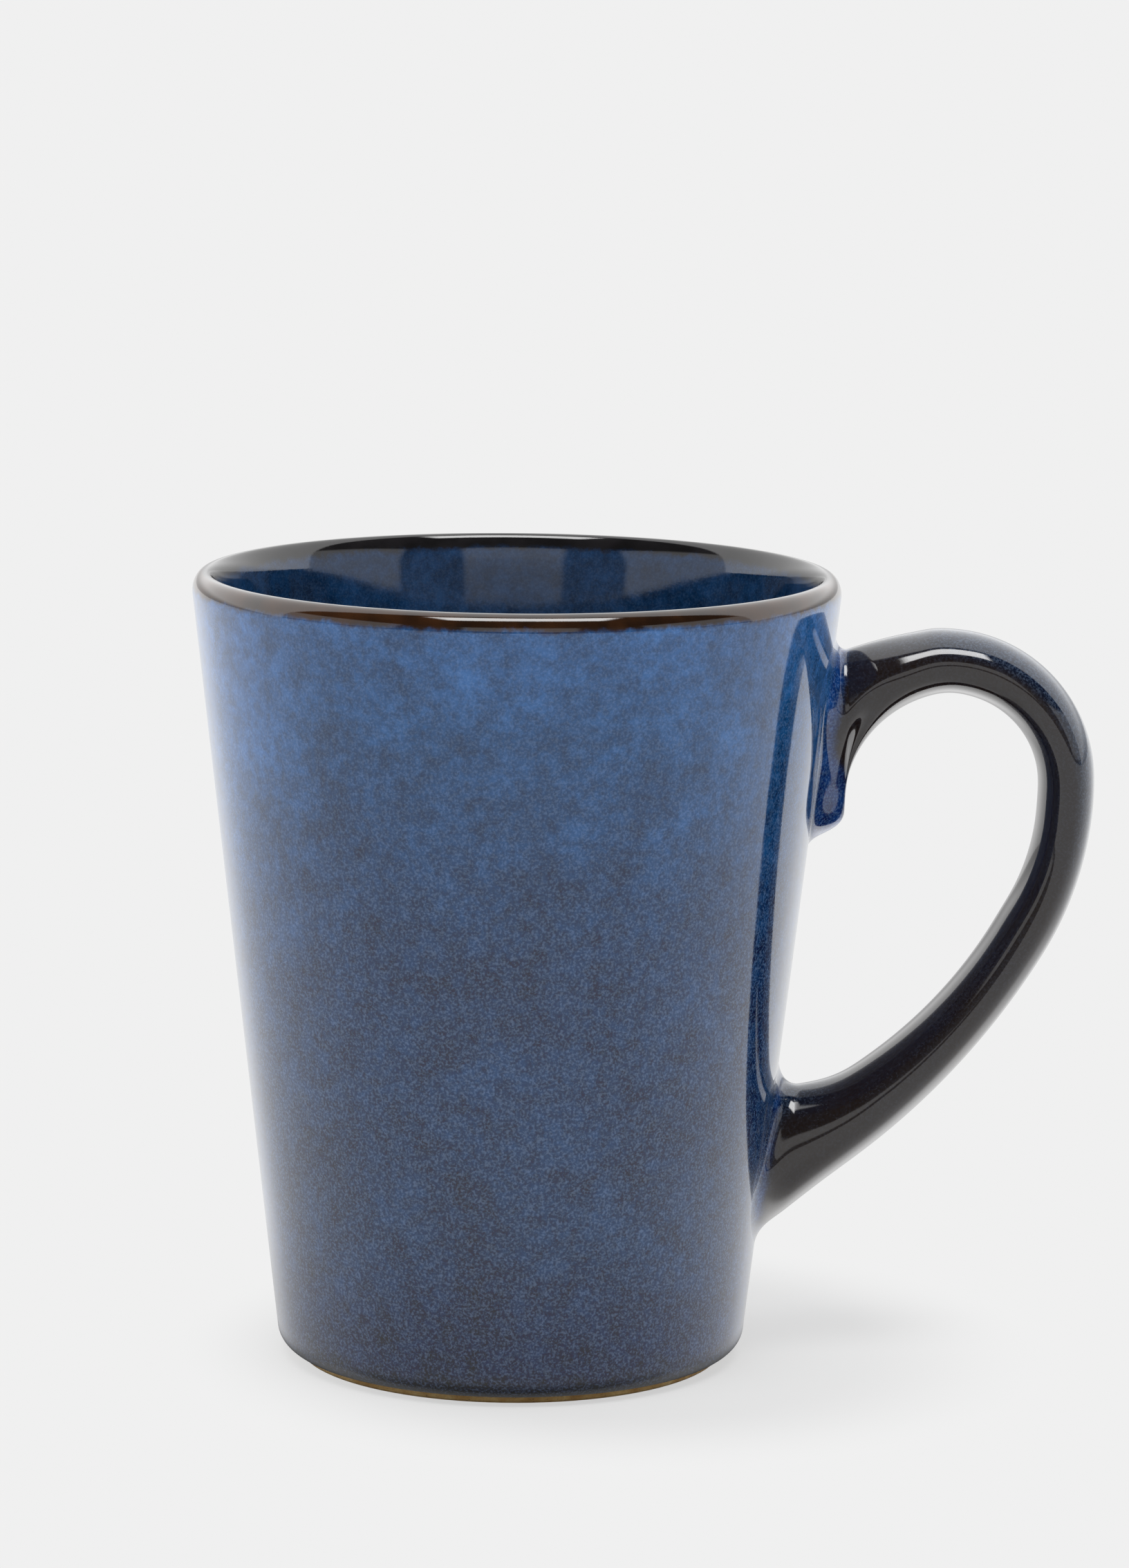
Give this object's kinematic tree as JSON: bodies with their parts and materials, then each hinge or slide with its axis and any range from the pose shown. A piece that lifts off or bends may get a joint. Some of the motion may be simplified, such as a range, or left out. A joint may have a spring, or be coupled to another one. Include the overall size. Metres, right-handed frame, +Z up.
{
  "type": "ceramic mug",
  "caption": "Tall conical stoneware mug with a bow handle luted to its side, blue glaze inside and out, a brown band over the lip and a bare foot ring.",
  "frame": {"origin": "on the cup's axis, in the plane of the foot ring that the mug stands on", "axes": "+Z up along the cup's axis, +X towards the handle, whose bow lies in the XZ plane"},
  "size_m": [0.125, 0.0896, 0.11],
  "materials": {
    "bare_clay": "fired stoneware, unglazed, fine grain",
    "slip": "fired slip, unglazed",
    "blue_glaze": "glossy mottled blue glaze",
    "brown_glaze": "glossy dark brown glaze",
    "dark_glaze": "glossy near-black brown glaze with a blue cast"
  },
  "bodies": {
    "root": {"cup_body": "bare_clay", "handle": "bare_clay", "upper_slip_joint": "slip", "lower_slip_joint": "slip", "outer_glaze": "blue_glaze", "inner_glaze": "blue_glaze", "rim_glaze": "brown_glaze", "handle_glaze": "dark_glaze", "base_glaze": "dark_glaze"}
  },
  "joints": []
}
